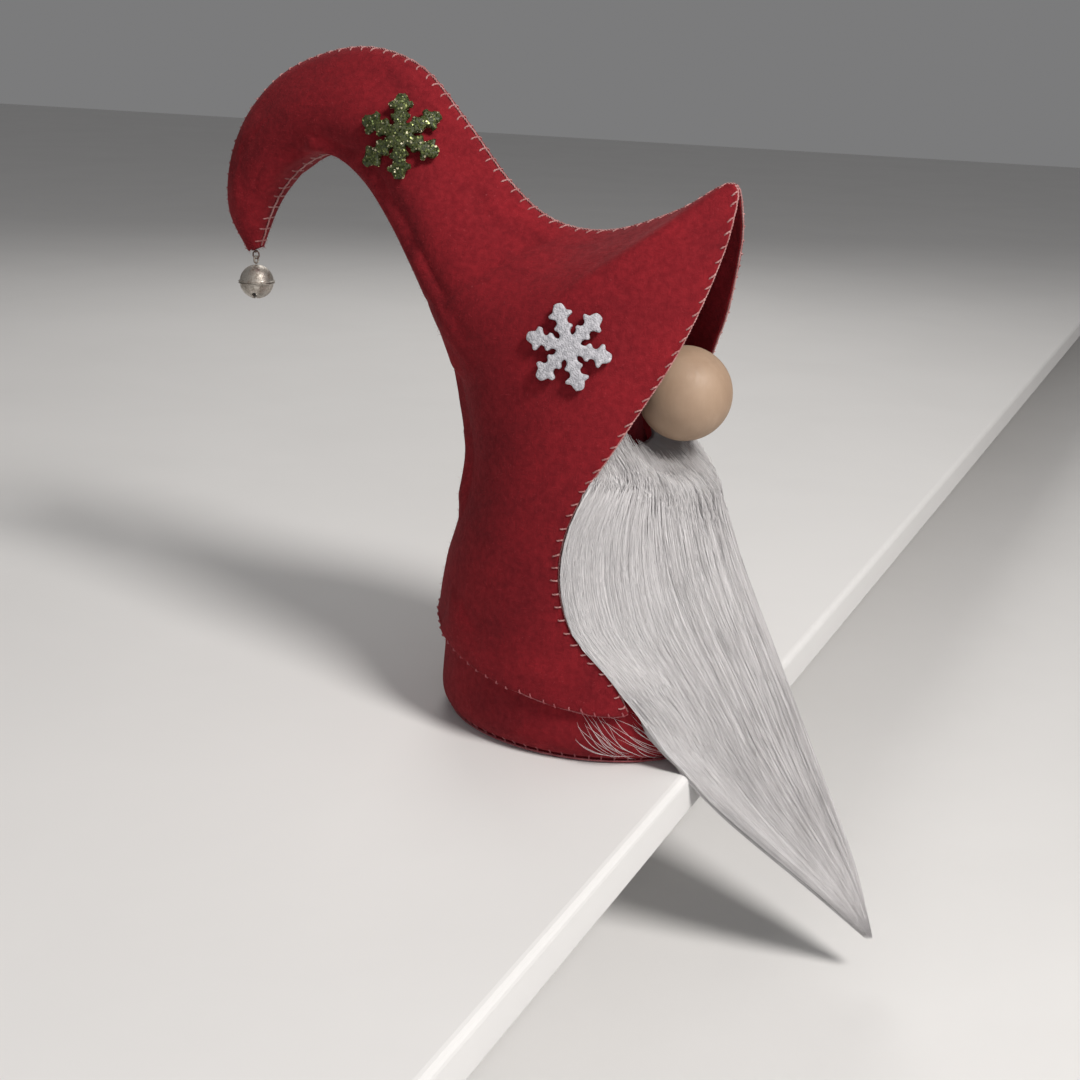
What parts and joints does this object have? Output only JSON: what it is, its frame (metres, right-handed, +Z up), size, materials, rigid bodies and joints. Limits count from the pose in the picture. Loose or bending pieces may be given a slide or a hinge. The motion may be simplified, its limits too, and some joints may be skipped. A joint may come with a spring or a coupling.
{
  "type": "tomte gnome figurine",
  "caption": "Felt tomte figurine with an arched stuffed hood, a wooden ball nose, a hanging fur beard and a jingle bell at the hood's tip.",
  "frame": {"origin": "middle of the base disc's flat underside", "axes": "+Z up, +X the way the nose points, +Y to the figure's left"},
  "size_m": [0.2965, 0.1018, 0.3245],
  "materials": {
    "red_felt": "matte wool felt",
    "fibrefill": "loose polyester fibre",
    "ballast": "cotton pouch of dry grain",
    "card": "grey-brown card",
    "thread": "stranded cotton",
    "nose_wood": "sanded, unvarnished",
    "glue": "set hot-melt glue",
    "fur": "long straight pile",
    "knit_backing": "knitted ground",
    "white_foam": "pressed felt",
    "green_glitter": "glitter on craft foam",
    "bell_metal": "tarnished silver plate",
    "pellet_metal": "plain steel",
    "dark_thread": "doubled cotton thread"
  },
  "bodies": {
    "figure": {"hat_panel_right": "red_felt", "hat_panel_left": "red_felt", "hat_stuffing": "fibrefill", "body_bag": "red_felt", "body_stuffing": "fibrefill", "ballast_bag": "ballast", "base_disc": "red_felt", "base_stiffener": "card", "base_seam_thread": "thread", "nose_ball": "nose_wood", "nose_glue": "glue", "beard_pile": "fur", "beard_backing": "knit_backing", "white_glue": "glue", "snowflake_white": "white_foam", "green_glue": "glue", "snowflake_green": "green_glitter", "front_seam_thread": "thread", "back_seam_thread": "thread", "edge_stitch_right": "thread", "edge_stitch_left": "thread", "hem_stitch_right": "thread", "hem_stitch_left": "thread"},
    "beard_end": {"beard_tail": "fur"},
    "bell_loop": {"bell_thread": "dark_thread"},
    "bell": {"bell_upper": "bell_metal", "bell_lower": "bell_metal", "bell_eye": "bell_metal"},
    "pellet": {"bell_pellet": "pellet_metal"}
  },
  "joints": [
    {"name": "beard_lift", "type": "hinge", "parent": "figure", "child": "beard_end", "pos_m": [0.084, 0, 0.024], "axis": [0, -1, 0], "range_deg": [0, 62]},
    {"name": "bell_loop_swing", "type": "hinge", "parent": "figure", "child": "bell_loop", "pos_m": [-0.1565, 0, 0.1718], "axis": [0, 1, 0], "range_deg": [-40, 40]},
    {"name": "bell_swing", "type": "hinge", "parent": "bell_loop", "child": "bell", "pos_m": [-0.1565, 0, 0.1699], "axis": [1, 0, 0], "range_deg": [-45, 45]},
    {"name": "pellet_roll", "type": "hinge", "parent": "bell", "child": "pellet", "pos_m": [-0.1565, 0, 0.16045], "axis": [0, 1, 0], "range_deg": [-60, 60]}
  ]
}
